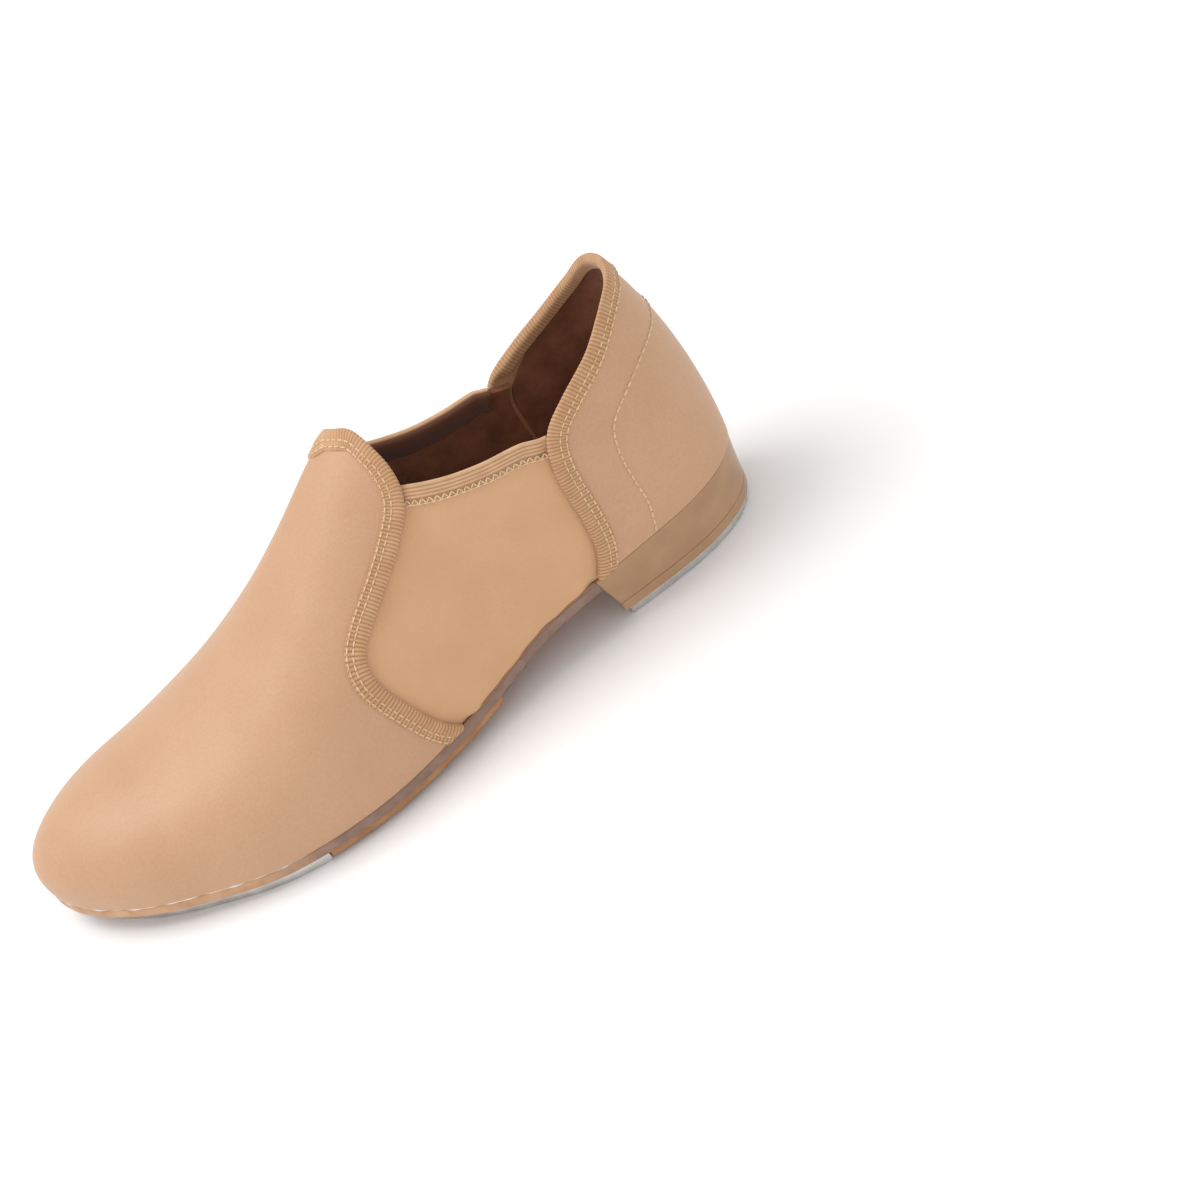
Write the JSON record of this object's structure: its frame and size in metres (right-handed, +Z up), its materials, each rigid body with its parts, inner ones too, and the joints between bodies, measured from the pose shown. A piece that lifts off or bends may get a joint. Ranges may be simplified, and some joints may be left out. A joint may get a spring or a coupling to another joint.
{
  "type": "tap shoe",
  "caption": "Slip-on tap shoe, left foot, with stretch side panels, ribbed bindings, low heel, flexible sole, and aluminium toe and heel taps.",
  "frame": {"origin": "middle of the bounding box in X and Y, on the floor plane that both taps rest on", "axes": "+X from heel to toe, +Y towards the wearer's left, the outer side of the foot, +Z up"},
  "size_m": [0.2614, 0.0866, 0.1017],
  "materials": {
    "upper_leather": "synthetic leather with a fine pressed grain, soft sheen",
    "gore": "smooth stretch neoprene knit, matte",
    "binding": "ribbed grosgrain tape with two rows of stitches",
    "lining": "brushed brown microfibre",
    "stiffener": "thermoplastic impregnated sheet",
    "board": "cellulose fibre board",
    "shank_steel": "tempered steel strip",
    "sole_rubber": "smooth moulded thermoplastic rubber",
    "pad_rubber": "moulded rubber with small diamond studs",
    "heel_cover": "moulded heel, tan cover, soft sheen",
    "tap_aluminium": "cast aluminium, linished face, rough cast edge",
    "screw_steel": "plated steel"
  },
  "bodies": {
    "rearfoot": {"vamp": "upper_leather", "quarter": "upper_leather", "gore_outer": "gore", "gore_inner": "gore", "gore_band_outer": "binding", "gore_band_inner": "binding", "vamp_binding": "binding", "quarter_binding": "binding", "vamp_lining": "lining", "quarter_lining": "lining", "heel_counter": "stiffener", "insole_board": "board", "sock_liner": "lining", "shank": "shank_steel", "outsole": "sole_rubber", "grip_pad": "pad_rubber", "heel_block": "heel_cover", "heel_lift": "heel_cover", "heel_tap": "tap_aluminium", "heel_tap_screw_1": "screw_steel", "heel_tap_screw_2": "screw_steel", "heel_tap_screw_3": "screw_steel", "heel_nail_1": "screw_steel", "heel_nail_2": "screw_steel", "heel_nail_3": "screw_steel", "heel_nail_4": "screw_steel"},
    "forefoot": {"toe_tap": "tap_aluminium", "toe_tap_screw_1": "screw_steel", "toe_tap_screw_2": "screw_steel", "toe_tap_screw_3": "screw_steel", "toe_puff": "stiffener"}
  },
  "joints": [
    {"name": "ball_flex", "type": "hinge", "parent": "rearfoot", "child": "forefoot", "pos_m": [0.0204, 0, 0.006], "axis": [0, -1, 0], "range_deg": [0, 35], "stiffness_Nm_per_rad": 6, "deforming": ["vamp", "vamp_lining", "insole_board", "sock_liner", "outsole", "grip_pad"]}
  ]
}
